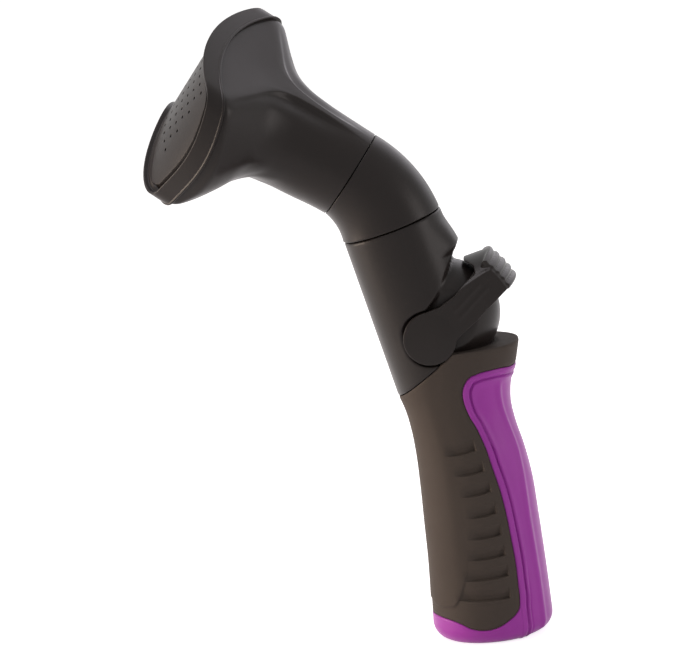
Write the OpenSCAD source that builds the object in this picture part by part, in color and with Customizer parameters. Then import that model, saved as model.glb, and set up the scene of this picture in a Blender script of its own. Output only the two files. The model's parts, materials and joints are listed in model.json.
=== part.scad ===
// Hand-held bath sprayer: hose inlet in the foot of a soft grip, a quarter-turn style
// thumb valve above it, a swivelling bent neck and a swivelling fan-shaped head.
// Millimetres. The hose axis is Z, the mouth of the inlet is at z = 0, spray goes towards -X.

/* [Hose inlet] */
// Crest diameter of the female 3/4 in garden hose thread
hose_thread_d = 24.8; // [24:0.1:26]
// Length of the thread
hose_thread_len = 12; // [10:0.5:14]
// Thickness of the hose washer
washer_t = 3; // [2:0.5:4]
// Wall of the threaded socket
socket_wall = 2.5; // [2:0.1:3.5]
// Bore through the washer and the filter screen
inlet_bore_d = 14; // [10:0.5:15]

/* [Handle] */
// Height at which the handle bends forward
bend_h = 74.5; // [70:0.5:80]
// Forward tilt of the upper handle
tilt = 14.4; // [8:0.2:20]
// Diameter of the foot ring
foot_d = 46.4; // [42:0.2:52]
// Rounding of the foot ring
foot_round = 6; // [3:0.5:8]
// Outer diameter of the rigid core tube
core_d = 31; // [29:0.5:32]
// Height of the collar behind the valve
collar_h = 113.5; // [110:0.5:116]
// Height of the grip's front edge under the valve
grip_front_h = 95.5; // [92:0.5:98]

/* [Grip grooves] */
// Number of finger grooves on each side of the grip
groove_rows = 8; // [4:1:8]
// Height of the lowest groove's edge
groove_low = 18; // [16:0.5:20]
// Distance between the grooves
groove_pitch = 8.1; // [7.5:0.1:8.5]
// Height of each groove's scoop
groove_tall = 4.5; // [3:0.1:5.5]
// Depth of each groove at its sharp lower edge
groove_depth = 0.9; // [0.5:0.1:1.3]

/* [Back strip] */
// Height of the strip's top edge
strip_top = 105; // [100:0.5:107]
// How far behind the hose axis the strip's edge runs at the foot
strip_edge_x = 11.4; // [9:0.2:13]
// How far forward the edge comes at the top
strip_sweep = 13.4; // [8:0.2:15]
// Height at which the foot ring meets the grip
ring_h = 10.3; // [9:0.1:12]
// Depth of the dip in the ring's upper edge
ring_dip = 4.1; // [0:0.1:5]

/* [Flow tube] */
// Outer diameter of the flow tube
tube_d = 16; // [14:0.5:17]
// Bore of the flow tube
tube_bore_d = 11; // [9:0.5:12]

/* [Valve] */
// Distance from the bend to the lever's pivot along the upper handle
pivot_up = 47.2; // [45:0.1:49]
// Diameter of the valve ball
ball_d = 27; // [26:0.5:27.5]
// Port through the ball
port_d = 6; // [5:0.1:7]
// Diameter of the valve stems
stem_d = 10; // [8:0.5:11]
// Thickness of the body wall beside the ball
body_wall = 3.3; // [2.6:0.1:3.6]
// Casing diameter at the grip
casing_d_low = 42; // [41:0.2:43]
// Casing diameter at the neck
casing_d_top = 38.6; // [38:0.2:40]
// Height of the casing above the pivot
casing_up = 43.1; // [42:0.1:48]
// Height of the rear shoulder above the pivot
shoulder_up = 29.2; // [27:0.1:31]
// Diameter of the rear dome
dome_d = 41.4; // [38:0.2:42]
// Offset of the dome behind the upper handle's axis
dome_back = 7.5; // [5:0.1:8]
// Height of the dome's centre above the pivot
dome_up = 4.1; // [3:0.1:6]

/* [Lever] */
// Diameter of the lever's pivot discs
disc_d = 20; // [18:0.2:22]
// Thickness of the lever's cheeks
cheek_t = 3.8; // [3.4:0.1:4.5]
// Radius of the lever's domed thumb face, over the ribs
thumb_r = 38.6; // [36:0.1:42]
// Width of the thumb pad
thumb_w = 31; // [26:0.5:34]
// Height of the thumb pad's crowned top above the pivot
thumb_up = 21.6; // [18:0.1:24]
// Number of ribs on the thumb pad
rib_count = 5; // [3:1:6]
// Diameter of each rib
rib_d = 2.6; // [2:0.1:3]

/* [Neck] */
// Radius of the neck's bend
neck_bend_r = 38.5; // [36:0.5:44]
// Angle of the neck's bend
neck_turn = 36.8; // [25:0.2:45]
// Diameter of the neck at the lower seam
neck_d = 38.6; // [38:0.2:40]
// Diameter of the neck at the head seam
neck_head_d = 35.2; // [34:0.2:37]
// Length of the neck's lower spigot
neck_spigot = 21; // [18:0.5:22]
// Water passage through the neck
neck_bore_d = 15; // [12:0.5:16]

/* [Head] */
// How far the head is turned about its inlet
head_turn = 25; // [-90:1:90]
// Distance from the head seam to the crown of the face
face_reach = 72.3; // [68:0.1:80]
// Radius of the curved face
face_r = 60; // [55:1:90]
// Height of the flat top of the face above the inlet axis
face_top = 20.5; // [19:0.1:22]
// Half the width of the face at its top corners
face_corner = 35; // [32:0.2:37]
// Half the greatest width of the face
face_half = 41.5; // [39:0.1:44]
// Depth of the lobes below the inlet axis
face_low = 33; // [30:0.2:35]
// Depth of the face's lower edge at the middle
face_mid = 21; // [20:0.2:28]
// Radius of the lobes' corners
lobe_r = 7; // [5:0.1:9]
// Softening of the face's top corners
corner_soft = 5; // [1:0.5:5.5]
// Depth of the rim band
rim_depth = 7.5; // [6:0.1:9]
// Width of the rim's front lip
rim_lip = 4.2; // [3.6:0.1:5]
// How far the spray plate lies behind the rim
plate_recess = 1.9; // [1:0.1:2.5]
// Thickness of the spray plate
plate_t = 2.4; // [1.6:0.1:3]
// Diameter of each spray hole
hole_d = 1.3; // [0.9:0.1:1.6]
// Angle between the columns of spray holes
hole_step = 4.6; // [4:0.1:7]
// Distance between the rows of spray holes
row_pitch = 5; // [4:0.1:8]
// Rows of spray holes
hole_rows = 7; // [3:1:7]
// Columns of spray holes in a full row
hole_columns = 13; // [5:2:13]
// Wall of the head shell at the rim
shell_wall = 5; // [4.6:0.1:6]

/* [Fits] */
// Radial clearance between pieces that don't move
fit = 0.1; // [0.05:0.01:0.15]
// Radial clearance of turning spigots and stems
run = 0.08; // [0.04:0.01:0.1]
// Gap at the swivel seams
seam = 0.35; // [0.3:0.05:0.5]
// Gap between the lever and the body
swing_gap = 0.4; // [0.3:0.05:0.5]
// Room under the lever at the bottom of its swing
swing_room = 6.6; // [6:0.1:6.8]
// Gap between the neck's spigot and the seat retainer
spigot_gap = 1.6; // [0.5:0.1:3]
// Thickness of the retaining clips
clip_t = 1.6; // [1.2:0.1:2]

/* [Hidden] */
$fn = 64;

black = "#2b2827";
rubber_tone = "#3a3430";
purple = "#7d2c83";
seal_tone = "#1a1a1a";
steel = "#b8bcc0";
white = "#e8e6df";

// Handle envelope: height, front, back and half width of each level section
grip_sections = [
    [15, -22.8, 23.0, 22.7], [30, -22.2, 22.5, 22.2], [45, -22.1, 21.8, 21.7],
    [60, -22.0, 20.9, 21.1], [72, -22.2, 19.0, 20.4], [82, -23.0, 16.7, 19.7],
    [90, -24.4, 15.8, 19.4], [97, -26.6, 16.6, 19.8], [104, -28.4, 18.8, 20.6],
    [collar_h, -30.0, 21.1, 21.2]
];
grip_power = 2.12;
grip_facets = 48;
foot_r = foot_d/2;

thread_r = hose_thread_d/2;
washer_r = thread_r + 0.4;
socket_r = thread_r + socket_wall;
washer_z = hose_thread_len + 0.2;
seat_z = washer_z + washer_t;
socket_floor = seat_z + 2.3;
socket_stem_r = tube_d/2 + 2.4;
socket_top = 31;
tube_start = 24;
tube_r = tube_d/2;
tube_bore_r = tube_bore_d/2;
core_r = core_d/2;
channel_r = socket_stem_r + fit;
core_top_up = 26;
spigot_r = core_r - 2.6;
spigot_foot_up = 12;
tube_end_up = 23.4;
oring_r = 0.76;

ball_r = ball_d/2;
cavity_r = ball_r + 0.2;
body_core_r = cavity_r + body_wall;
seat_r = ball_r - 1.5;
seat_bore_r = 4.0;
seat_near = 7.5;
seat_far = 14.5;
seat_oring_r = (seat_bore_r + seat_r)/2;
stem_r = stem_d/2;
stem_key = 7;
cheek_in = body_core_r + swing_gap;
cheek_out = cheek_in + cheek_t;
disc_r = disc_d/2;
pocket_r = disc_r + swing_gap + 0.3;
base_r = body_core_r + 0.6;
slab_half = body_core_r - 0.1;
shoulder_back = 21.1;

spigot_bore_r = cavity_r;
neck_spigot_r = spigot_bore_r - run;
retainer_end = casing_up - neck_spigot - spigot_gap;
head_spigot_r = 11.92;
head_socket_r = head_spigot_r + run;
head_spigot = 13.2;
head_socket = 14;
clip_z = -5.2;
clip_play = 0.15;
clip_bite = 1.5;

casing_tilt_x = 0.2;
neck_facets = 40;
face_centre = face_reach - face_r;
crease = 7;
plate_front = -plate_recess;
plate_back = plate_front - plate_t;
hole_first_row = 13.5;

// Where the grip's top edge starts at the front and meets the collar at the side
edge_front = [-27.4, grip_front_h];
edge_side = [-4, collar_h];

// ---------- places ----------

module at_bend() translate([0, 0, bend_h]) rotate([0, -tilt, 0]) children();

module at_pivot() at_bend() translate([0, 0, pivot_up]) children();

module at_neck() at_pivot() translate([0, 0, casing_up]) children();

module at_head_seam()
    at_neck() translate([-neck_bend_r, 0, 0]) rotate([0, -neck_turn, 0])
        translate([neck_bend_r, 0, 0]) children();

// The head's own frame: Z is the spray axis, X the side of the flat top
module at_head() at_head_seam() rotate([0, 0, -head_turn]) children();

// ---------- shared shapes ----------

// Closed skin over a list of rings with equal numbers of points
module loft(rings) {
    n = len(rings[0]);
    m = len(rings);
    points = [for (r = rings) each r];
    sides = [
        for (j = [0:m - 2], i = [0:n - 1])
            let (a = j*n + i, b = j*n + (i + 1)%n)
                each [[a, a + n, b + n], [a, b + n, b]]
    ];
    caps = [[for (i = [0:n - 1]) i], [for (i = [n - 1:-1:0]) (m - 1)*n + i]];
    polyhedron(points, concat(caps, sides), convexity = 8);
}

module ring(r_out, r_in, h)
    difference() {
        cylinder(r = r_out, h = h);
        translate([0, 0, -1]) cylinder(r = r_in, h = h + 2);
    }

module oring(r, section)
    rotate_extrude($fn = 48) translate([r, 0]) circle(r = section, $fn = 20);

// Prism across the handle over an outline drawn in X and Z
module across(width = 80)
    rotate([90, 0, 0]) linear_extrude(height = width, center = true) children();

// Cylinder along Y
module cross_cylinder(r, width)
    rotate([90, 0, 0]) cylinder(r = r, h = width, center = true);

function rounded(v, n) = sign(v)*pow(abs(v), 2/n);

// Level section of the handle: a slightly squared oval
function oval(z, front, back, half) = [
    for (i = [0:grip_facets - 1])
        let (t = 360*i/grip_facets)
            [(front + back)/2 + (back - front)/2*rounded(cos(t), grip_power),
             half*rounded(sin(t), grip_power), z]
];

// The foot is a quarter round below the first grip section
function foot_sections() = [
    for (a = [0:18:90])
        let (r = foot_r - foot_round*(1 - sin(a)), z = foot_round*(1 - cos(a)))
            oval(z, -r, r, r)
];

module handle_envelope()
    loft(concat(foot_sections(), [for (s = grip_sections) oval(s[0], s[1], s[2], s[3])]));

// Side outline of the coloured core: foot ring with a dip, strip edge sweeping forward
module core_side() {
    dip_mid = -2.5;
    dip_half = 13;
    sweep_low = 22;
    sweep_high = 96;
    corner_x = strip_edge_x - strip_sweep;
    corner_r = strip_top - sweep_high;
    ring_edge = [
        for (x = [-30:2.5:strip_edge_x - 1.5])
            let (near = max(0, 1 - abs(x - dip_mid)/dip_half))
                [x, ring_h - ring_dip*(0.5 - 0.5*cos(180*near))]
    ];
    strip_edge = [
        for (i = [0:10])
            let (t = i/10)
                [strip_edge_x - strip_sweep*t*t, sweep_low + (sweep_high - sweep_low)*t]
    ];
    strip_corner = [
        for (a = [15:15:90]) [corner_x + corner_r*(1 - cos(a)), sweep_high + corner_r*sin(a)]
    ];
    polygon(concat(
        [[40, -5], [-30, -5]], ring_edge, [[strip_edge_x, ring_h + 2]],
        strip_edge, strip_corner, [[40, strip_top]]
    ));
}

// Everything above the grip's upper edge, from the side
module above_grip() {
    slope = (edge_side[1] - edge_front[1])/(edge_side[0] - edge_front[0]);
    far = edge_front[0] - 20;
    polygon([
        [far, edge_front[1] - 20*slope], edge_side, [60, collar_h], [60, 190], [far, 190]
    ]);
}

// Rigid tube through the handle, bent with it
module bent_rod(r, low, high_up) {
    translate([0, 0, low]) cylinder(r = r, h = bend_h - low);
    translate([0, 0, bend_h]) sphere(r = r);
    at_bend() cylinder(r = r, h = high_up);
}

// Foot of the valve body that stands on the core and fills the collar
module valve_base(grow = 0) {
    at_bend() translate([0, 0, core_top_up]) cylinder(r = base_r + grow, h = pivot_up - core_top_up);
    translate([2.6, 0, strip_top + 0.2]) cylinder(r = 14.5 + grow, h = collar_h - strip_top - 1.8);
}

// Rear dome that the lever swings over
module dome(grow = 0)
    at_pivot() intersection() {
        translate([dome_back, 0, dome_up]) sphere(d = dome_d + 2*grow);
        cube([90, 2*(slab_half + grow), 90], center = true);
        translate([-40, -40, core_top_up - pivot_up]) cube([90, 80, 90]);
    }

// Room for the valve's walls and for the lever's swing, where a high collar reaches them
module lever_room()
    at_pivot() {
        cylinder(r = body_core_r + fit, h = shoulder_up);
        translate([0, -cheek_out - swing_gap, -swing_room])
            cube([60, 2*(cheek_out + swing_gap), shoulder_up + swing_room]);
    }

module disc_pockets()
    at_pivot()
        for (side = [-1, 1])
            translate([0, side*(body_core_r + 10), 0]) cross_cylinder(pocket_r, 19.9);

// ---------- handle ----------

module handle_core()
    color(purple)
        difference() {
            union() {
                bent_rod(core_r, 5, core_top_up);
                translate([0, 0, 3]) cylinder(r = socket_r + 3, h = socket_floor);
                intersection() {
                    handle_envelope();
                    across() core_side();
                }
            }
            translate([0, 0, -1]) cylinder(r = socket_r + fit, h = socket_floor + 1);
            bent_rod(channel_r, 1, spigot_foot_up + 1);
            at_bend() translate([0, 0, spigot_foot_up])
                cylinder(r = spigot_r + fit, h = core_top_up);
            valve_base();
        }

// Half width of the grip at a height
function grip_half(z) = lookup(z, [for (s = grip_sections) [s[0], s[3]]]);

// Scoops across both sides of the grip, each deepest at its lower edge
module grip_grooves()
    for (side = [0, 1], row = [0:groove_rows - 1]) {
        z = groove_low + groove_pitch*row;
        rear = 70 + max(0, z - 42)/3;
        front = 103 + pow(z - 50, 2)/56;
        r = grip_half(z);
        mirror([0, side, 0]) rotate([0, 0, rear])
            translate([0, 0, z])
                rotate_extrude(angle = front - rear)
                    polygon([[r - groove_depth, 0], [r + 6, 0], [r + 6, groove_tall*1.6], [r, groove_tall]]);
    }

module rubber_grip()
    color(rubber_tone)
        difference() {
            handle_envelope();
            grip_grooves();
            across() core_side();
            across() above_grip();
            bent_rod(core_r + fit, 5, core_top_up);
            translate([0, 0, 3]) cylinder(r = socket_r + 3 + fit, h = socket_floor + fit);
            valve_base(fit);
            dome(fit);
            lever_room();
            disc_pockets();
        }

module inlet_socket()
    color(black)
        difference() {
            union() {
                cylinder(r = socket_r, h = socket_floor);
                cylinder(r = socket_stem_r, h = socket_top);
            }
            translate([0, 0, -1]) cylinder(r = thread_r, h = washer_z + 1.1);
            translate([0, 0, washer_z]) cylinder(r = washer_r, h = washer_t);
            cylinder(r = inlet_bore_d/2, h = seat_z + 1);
            cylinder(r = tube_bore_r, h = tube_start + 1);
            translate([0, 0, tube_start]) cylinder(r = tube_r + fit, h = socket_top);
        }

module hose_washer()
    color(seal_tone)
        translate([0, 0, washer_z]) ring(washer_r - fit, inlet_bore_d/2, washer_t);

module inlet_screen() {
    hole = 0.8;
    pitch = 2.5;
    color(steel)
        translate([0, 0, seat_z + 0.1])
            difference() {
                cylinder(r = inlet_bore_d/2 - fit, h = 0.8);
                for (row = [-2:2], col = [-2:2])
                    translate([pitch*(col + 0.5*(row%2)), pitch*0.87*row, -1])
                        cylinder(r = hole, h = 3, $fn = 16);
            }
}

module flow_tube()
    color(black)
        difference() {
            bent_rod(tube_r, tube_start, tube_end_up);
            translate([0, 0, -0.1]) bent_rod(tube_bore_r, tube_start, tube_end_up + 1);
            for (h = [tube_start + 3]) translate([0, 0, h]) ring(tube_r + 1, tube_r - 1.5, 2);
            at_bend() translate([0, 0, tube_end_up - 5]) ring(tube_r + 1, tube_r - 1.5, 2);
        }

module tube_oring_lower()
    color(seal_tone) translate([0, 0, tube_start + 4]) oring(tube_r - 0.72, oring_r);

module tube_oring_upper()
    color(seal_tone) at_bend() translate([0, 0, tube_end_up - 4]) oring(tube_r - 0.72, oring_r);

// ---------- valve ----------

// Rear opening of the casing, where the lever swings over the dome
module lever_opening()
    polygon([
        [1.5, disc_r], [8, disc_r + 4.2], [18.4, shoulder_up - 4],
        [shoulder_back + 0.2, shoulder_up], [60, shoulder_up], [60, -40], [5, -40], [5, 0]
    ]);

module casing() {
    low = 23.3;
    casing_h = casing_up + low - seam;
    difference() {
        translate([casing_tilt_x, 0, -low])
            cylinder(r1 = casing_d_low/2, r2 = casing_d_top/2, h = casing_h);
        across() lever_opening();
    }
    // the shoulder swells a little over the lever
    translate([2, 0, shoulder_up])
        cylinder(r1 = shoulder_back - 2, r2 = casing_d_top/2 - 2, h = 7.5);
}

module valve_body()
    color(black)
        difference() {
            union() {
                intersection() {
                    at_pivot() casing();
                    across() above_grip();
                }
                at_pivot() {
                    translate([0, 0, core_top_up - pivot_up])
                        cylinder(r = body_core_r, h = shoulder_up + 5 + pivot_up - core_top_up);
                    translate([0, 0, spigot_foot_up - pivot_up])
                        cylinder(r = spigot_r, h = core_top_up - spigot_foot_up + 1);
                }
                dome();
                valve_base();
            }
            disc_pockets();
            at_pivot() {
                translate([0, 0, -seat_near]) cylinder(r = cavity_r, h = casing_up + 20);
                translate([0, 0, -seat_far]) cylinder(r = seat_r + fit, h = 20);
                translate([0, 0, -40]) cylinder(r = seat_bore_r, h = 40);
                translate([0, 0, spigot_foot_up - pivot_up - 1])
                    cylinder(r = tube_r + fit, h = tube_end_up - spigot_foot_up + 1.5);
                cross_cylinder(stem_r + run, 60);
                translate([0, 0, casing_up + clip_z])
                    cylinder(r = cavity_r + clip_bite, h = clip_t);
            }
        }

module seat_ring(r_out)
    difference() {
        translate([0, 0, seat_near]) ring(r_out, seat_bore_r, seat_far - seat_near);
        sphere(r = ball_r + 0.05);
    }

module lower_seat()
    color(white)
        at_pivot()
            difference() {
                mirror([0, 0, 1]) seat_ring(seat_r);
                translate([0, 0, -seat_far - 1]) ring(seat_oring_r + 1, seat_oring_r - 1, 2.6);
            }

module seat_oring()
    color(seal_tone) at_pivot() translate([0, 0, -seat_far + 0.76]) oring(seat_oring_r, oring_r);

module upper_seat()
    color(white) at_pivot() seat_ring(cavity_r - fit);

module seat_retainer() {
    slot = 0.42*(retainer_end - seat_far);
    color(black)
        at_pivot()
            difference() {
                translate([0, 0, seat_far]) ring(cavity_r - fit, 7, retainer_end - seat_far);
                translate([-2, -20, retainer_end - slot]) cube([4, 40, slot + 2]);
            }
}

// Split ring that holds a spigot in its socket
module clip(r_out, r_in)
    difference() {
        ring(r_out, r_in, clip_t);
        translate([0, -1.5, -1]) cube([30, 3, 10]);
    }

module neck_clip()
    color(steel)
        at_neck() translate([0, 0, clip_z])
            clip(cavity_r + clip_bite - fit, cavity_r - clip_bite + clip_play);

module valve_ball()
    color(white)
        at_pivot()
            difference() {
                sphere(r = ball_r);
                cylinder(d = port_d, h = ball_d + 2, center = true);
                for (side = [-1, 1])
                    translate([0, side*(ball_r - 1), 0])
                        cube([stem_key, 6, 3.2], center = true);
            }

module stem(side)
    color(black)
        at_pivot() {
            translate([0, side*(ball_r - 1.7), 0])
                cube([stem_key - 2*fit, 4.4, 3.2 - 2*fit], center = true);
            difference() {
                translate([0, side*(cavity_r + cheek_in - 0.1)/2, 0])
                    cross_cylinder(stem_r, cheek_in - cavity_r + 0.1);
                translate([0, side*(cavity_r + 1.8), 0])
                    difference() {
                        cross_cylinder(stem_r + 1, 1.4);
                        cross_cylinder(stem_r - 1.1, 2);
                    }
            }
            translate([0, side*(cheek_in + 1.2), 0])
                cube([stem_key - 2*fit, 2.6, stem_key - 2*fit], center = true);
        }

module stem_left() stem(-1);

module stem_right() stem(1);

module stem_oring(side)
    color(seal_tone)
        at_pivot() translate([0, side*(cavity_r + 1.8), 0])
            rotate([90, 0, 0]) oring(stem_r - 0.58, 0.5);

module stem_oring_left() stem_oring(-1);

module stem_oring_right() stem_oring(1);

// ---------- lever ----------

// Side outline of the lever's arms and thumb pad
module lever_side() {
    circle(r = disc_r);
    polygon([
        [0, -disc_r + 1], [disc_r - 1, -4], [11.5, -2.8], [18.5, -0.1], [29.1, 4.9],
        [thumb_r - 3.6, 7.8], [thumb_r + 5, 9], [thumb_r + 5, thumb_up + 6],
        [21, thumb_up + 6], [21, thumb_up - 0.6], [24.2, thumb_up - 2.6],
        [24, thumb_up - 5], [19.2, 14.9], [14, 11.9], [7.6, disc_r], [0, disc_r]
    ]);
}

// Plan outline of the lever: cheeks that close in towards the pad
module lever_plan()
    polygon([
        [-30, cheek_out], [9, cheek_out], [28, thumb_w/2 + 0.7], [50, thumb_w/2],
        [50, -thumb_w/2], [28, -thumb_w/2 - 0.7], [9, -cheek_out], [-30, -cheek_out]
    ]);

// One rib across the pad, an arc about the pivot
module thumb_rib(angle) {
    arc_r = thumb_r - rib_d/2;
    spread = asin((thumb_w/2 - 1)/arc_r);
    rotate([0, -angle, 0]) rotate([0, 0, -spread])
        rotate_extrude(angle = 2*spread) translate([arc_r, 0]) circle(d = rib_d, $fn = 24);
}

module thumb_lever() {
    hollow_r = dome_d/2 + norm([dome_back, dome_up]) + swing_gap;
    rib_from = 13.4;
    rib_pitch = 4.9;
    crown_r = 26;
    color(black)
        at_pivot()
            difference() {
                union() {
                    intersection() {
                        across() lever_side();
                        translate([0, 0, -60]) linear_extrude(height = 120) lever_plan();
                        sphere(r = thumb_r - rib_d/2 + 0.5, $fn = 96);
                        translate([0, 0, thumb_up - crown_r]) rotate([0, 90, 0])
                            cylinder(r = crown_r, h = 120, center = true);
                    }
                    for (i = [0:rib_count - 1]) thumb_rib(rib_from + rib_pitch*i);
                }
                intersection() {
                    sphere(r = hollow_r, $fn = 96);
                    cube([90, 2*cheek_in, 90], center = true);
                }
                cube([stem_key, 2*(cheek_in + 2.7), stem_key], center = true);
            }
}

// ---------- neck ----------

module neck_skin() {
    steps = 6;
    loft([
        for (j = [0:steps])
            let (turn = neck_turn*j/steps, r = (neck_d + (neck_head_d - neck_d)*j/steps)/2)
                [
                    for (i = [0:neck_facets - 1])
                        let (t = 360*i/neck_facets, reach = neck_bend_r + r*cos(t))
                            [reach*cos(turn) - neck_bend_r, r*sin(t), reach*sin(turn)]
                ]
    ]);
}

// Groove that a clip or an O-ring sits in
module groove(r_bottom, width)
    ring(40, r_bottom, width);

module neck()
    color(black)
        difference() {
            union() {
                at_neck() neck_skin();
                at_neck() translate([0, 0, -neck_spigot])
                    difference() {
                        cylinder(r = neck_spigot_r, h = neck_spigot + 1);
                        translate([0, 0, 4.5]) groove(neck_spigot_r - 1.5, 2);
                        translate([0, 0, neck_spigot + clip_z - clip_play])
                            groove(cavity_r - clip_bite, clip_t + 2*clip_play);
                    }
            }
            at_neck() translate([0, 0, -neck_spigot - 1])
                cylinder(d = neck_bore_d, h = neck_spigot + 1.5);
            at_neck() translate([-neck_bend_r, 0, 0]) rotate([90, 0, 0])
                rotate_extrude(angle = neck_turn)
                    translate([neck_bend_r, 0]) circle(d = neck_bore_d - 0.6);
            at_head_seam() translate([0, 0, -head_socket])
                cylinder(r = head_socket_r, h = head_socket + 5);
            at_head_seam() translate([0, 0, clip_z])
                cylinder(r = head_socket_r + clip_bite, h = clip_t);
        }

module neck_oring()
    color(seal_tone)
        at_neck() translate([0, 0, 5.5 - neck_spigot]) oring(neck_spigot_r - 0.72, oring_r - 0.06);

module head_clip()
    color(steel)
        at_head_seam() translate([0, 0, clip_z])
            clip(head_socket_r + clip_bite - fit, head_socket_r - clip_bite + clip_play);

// ---------- head ----------

// Side of the face from the top corner to the lobe, bowed outwards
function face_side(t) =
    let (b = face_top + (lobe_r - face_low - face_top)*t,
         straight = face_corner + (face_half - 2.5 - face_corner)*t)
        [b, straight + 4.6*sin(180*pow(t, 0.85))];

function lobe_corner(a) =
    [lobe_r - face_low - lobe_r*sin(a), face_half - 2.5 - lobe_r + lobe_r*cos(a)];

// Lower edge from the lobe to the middle
function face_lower(t) =
    let (w = (face_half - 2.5 - lobe_r)*(1 - t))
        [-face_mid - (face_low - face_mid)*pow(sin(90*(1 - t)), 2), w];

// Rounded top corner, from the flat top to the side
function top_corner(t) =
    (1 - t)*(1 - t)*[face_top, face_corner - corner_soft] + 2*t*(1 - t)*[face_top, face_corner]
        + t*t*face_side(0.085);

face_right = concat(
    [for (i = [0:3]) [face_top, (face_corner - corner_soft)*i/4]],
    [for (i = [0:4]) top_corner(i/4)],
    [for (i = [1:6]) face_side(0.085 + 0.915*i/6)],
    [for (i = [1:4]) lobe_corner(90*i/4)],
    [for (i = [1:6]) face_lower(i/6)]
);
face_half_count = len(face_right);
face_outline = concat(
    face_right,
    [for (i = [face_half_count - 2:-1:1]) [face_right[i][0], -face_right[i][1]]]
);
// Angle on the inlet circle that each point of the face outline grows from
face_angles = [
    for (i = [0:len(face_outline) - 1])
        let (k = i < face_half_count ? i : 2*face_half_count - 2 - i,
             a = k < 4 ? crease*k/4 : crease + (180 - crease)*(k - 4)/(face_half_count - 5))
            i < face_half_count ? a : 360 - a
];

// Face outline drawn in by an even margin
function face_inset(d) =
    let (mid = (face_top - face_low)/2, tall = (face_top + face_low)/2)
        [for (p = face_outline) [mid + (p[0] - mid)*(tall - d)/tall, p[1]*(face_half - d)/face_half]];

// How far a section has grown from the inlet circle to the face outline
flare = [
    [0, 0], [0.2, 0.03], [0.46, 0.11], [0.64, 0.25], [0.72, 0.37],
    [0.78, 0.58], [0.845, 0.79], [0.9, 0.9], [1, 1]
];
// Where the shell's sections lie, as parts of the reach
shell_stations = [0.14, 0.28, 0.39, 0.46, 0.5, 0.54, 0.58, 0.62, 0.68, 0.75, 0.83, 0.95];

function head_section(s, inlet_r, inset, lag) =
    let (target = face_inset(inset))
        [
            for (i = [0:len(target) - 1])
                let (a = face_angles[i],
                     full = face_reach*(0.69 + 0.25*pow(max(0, cos(a)), 2)),
                     f = lookup((s - lag)/full, flare),
                     g = a <= crease || a >= 360 - crease ? 0.5*f + 0.5*s/face_reach : f)
                    [
                        (1 - g)*inlet_r*cos(a) + g*target[i][0],
                        (1 - f)*inlet_r*sin(a) + f*target[i][1],
                        s
                    ]
        ];

// Space behind a copy of the curved face, moved back along the spray axis
module behind_face(back)
    translate([0, 0, face_centre + back]) rotate([0, 90, 0])
        cylinder(r = face_r, h = 160, center = true, $fn = 128);

module face_prism(inset)
    translate([0, 0, face_reach/3]) linear_extrude(height = face_reach) polygon(face_inset(inset));

module head_shell()
    color(black)
        at_head()
            difference() {
                union() {
                    intersection() {
                        loft([
                            for (s = concat([seam], face_reach*shell_stations))
                                head_section(s, neck_head_d/2, 0.8, 0)
                        ]);
                        behind_face(-rim_depth);
                    }
                    translate([0, 0, -head_spigot])
                        difference() {
                            cylinder(r = head_spigot_r, h = head_spigot + 3);
                            translate([0, 0, 2]) groove(head_spigot_r - 1.4, 2);
                            translate([0, 0, head_spigot + clip_z - clip_play])
                                groove(head_socket_r - clip_bite, clip_t + 2*clip_play);
                        }
                }
                loft([
                    for (s = face_reach*concat([0.22], [for (i = [2:11]) shell_stations[i] + 0.03], [1]))
                        head_section(s, neck_head_d/2 - 4, shell_wall, 2.5)
                ]);
                translate([0, 0, -head_spigot - 1]) cylinder(d = neck_bore_d, h = 40);
            }

module head_oring()
    color(seal_tone)
        at_head() translate([0, 0, 3 - head_spigot]) oring(head_spigot_r - 0.68, 0.66);

module face_rim()
    color(black)
        at_head()
            difference() {
                intersection() {
                    face_prism(0);
                    behind_face(0);
                }
                behind_face(-rim_depth);
                face_prism(rim_lip);
                intersection() {
                    face_prism(rim_lip - 1);
                    behind_face(plate_front);
                }
            }

module plate_gasket()
    color(seal_tone)
        at_head()
            difference() {
                intersection() {
                    face_prism(rim_lip - 1 + fit);
                    behind_face(plate_back);
                }
                behind_face(-rim_depth);
                face_prism(rim_lip + 0.6);
            }

// Thin plate bent to the face's radius, drilled square to its curve
module spray_plate()
    color(black)
        at_head()
            difference() {
                intersection() {
                    face_prism(rim_lip - 1 + fit);
                    behind_face(plate_front);
                }
                behind_face(plate_back);
                for (row = [0:hole_rows - 1]) {
                    shift = row%2 == 0 ? 0 : 0.5;
                    columns = hole_columns - row%2;
                    for (col = [0:columns - 1]) {
                        turn = hole_step*(col + shift - (hole_columns - 1)/2);
                        translate([hole_first_row - row_pitch*row, 0, face_centre + plate_front])
                            rotate([-turn, 0, 0]) translate([0, 0, face_r - plate_t - 1])
                                cylinder(d = hole_d, h = plate_t + 2, $fn = 16);
                    }
                }
            }

handle_core();
rubber_grip();
inlet_socket();
hose_washer();
inlet_screen();
flow_tube();
tube_oring_lower();
tube_oring_upper();
valve_body();
lower_seat();
seat_oring();
upper_seat();
seat_retainer();
neck_clip();
valve_ball();
stem_left();
stem_right();
stem_oring_left();
stem_oring_right();
thumb_lever();
neck();
neck_oring();
head_clip();
head_shell();
head_oring();
face_rim();
plate_gasket();
spray_plate();
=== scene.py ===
"""Looks of a hand-held pet bath sprayer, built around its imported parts.

Shapes are worked out in millimetres, in the sprayer's own frame: the hose axis is Z, its inlet
at the origin, and water leaves towards -X. Meshes are in metres.
"""

import json
import math

import bmesh
import bpy
import numpy as np
from mathutils import Matrix, Vector

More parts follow.
